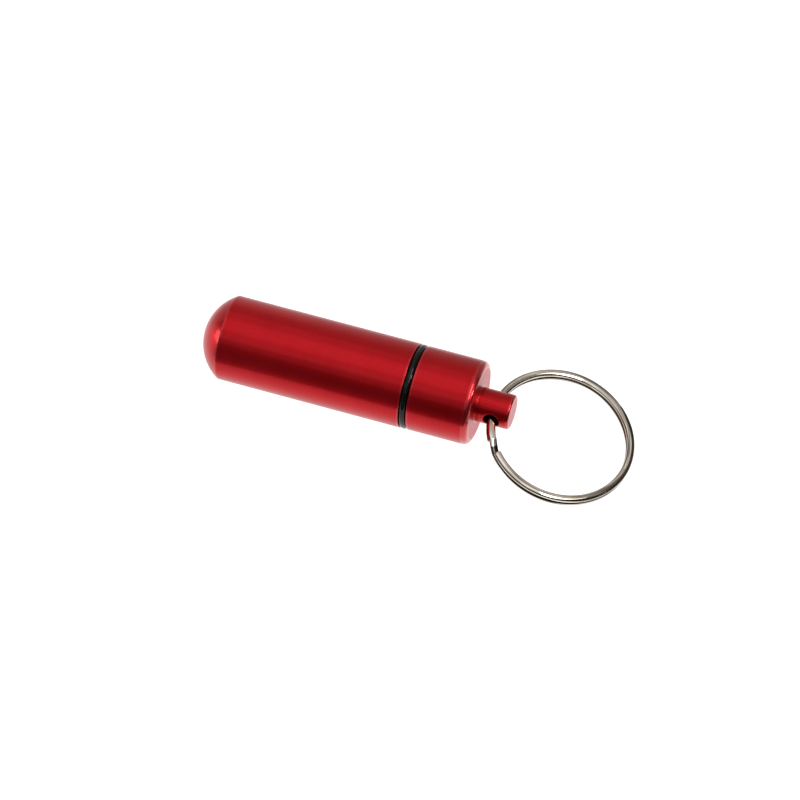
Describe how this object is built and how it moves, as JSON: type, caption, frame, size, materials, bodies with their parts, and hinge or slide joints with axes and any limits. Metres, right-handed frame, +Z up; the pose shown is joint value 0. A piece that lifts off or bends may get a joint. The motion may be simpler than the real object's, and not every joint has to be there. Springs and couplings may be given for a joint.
{
  "type": "keychain capsule",
  "caption": "Screw-together metal capsule for the key ring: a domed vial, an O-ring seal, a cap with a cross-drilled stem, and a split ring that swings in the stem.",
  "frame": {"origin": "under the middle of the whole object, on the surface that the capsule lies on", "axes": "+X along the capsule from its dome to the split ring, +Z up, +Y across to complete the right-hand set; the capsule lies on its side at its own axis height of 7 mm"},
  "size_m": [0.0724, 0.0244, 0.014],
  "materials": {
    "red_anodised": "satin red anodised, fine turning marks",
    "black_rubber": "smooth black nitrile",
    "nickel_plate": "bright nickel plate on spring steel"
  },
  "bodies": {
    "cap": {"cap": "red_anodised"},
    "seal_ring": {"seal_ring": "black_rubber"},
    "vial": {"vial": "red_anodised"},
    "split_ring": {"split_ring": "nickel_plate"}
  },
  "joints": [
    {"name": "vial_travel", "type": "slide", "parent": "cap", "child": "seal_ring", "axis": [-1, 0, 0], "range_m": [0, 0.008]},
    {"name": "vial_turn", "type": "hinge", "parent": "seal_ring", "child": "vial", "pos_m": [0, 0, 0.007], "axis": [-1, 0, 0], "range_deg": [0, 2880]},
    {"name": "ring_swing", "type": "hinge", "parent": "cap", "child": "split_ring", "pos_m": [0.01327, 0, 0.007], "axis": [0, -1, 0], "range_deg": [-140, 170]}
  ],
  "couplings": [
    {"joint": "vial_travel", "follows": "vial_turn", "m_per_rad": 0.00015915}
  ]
}
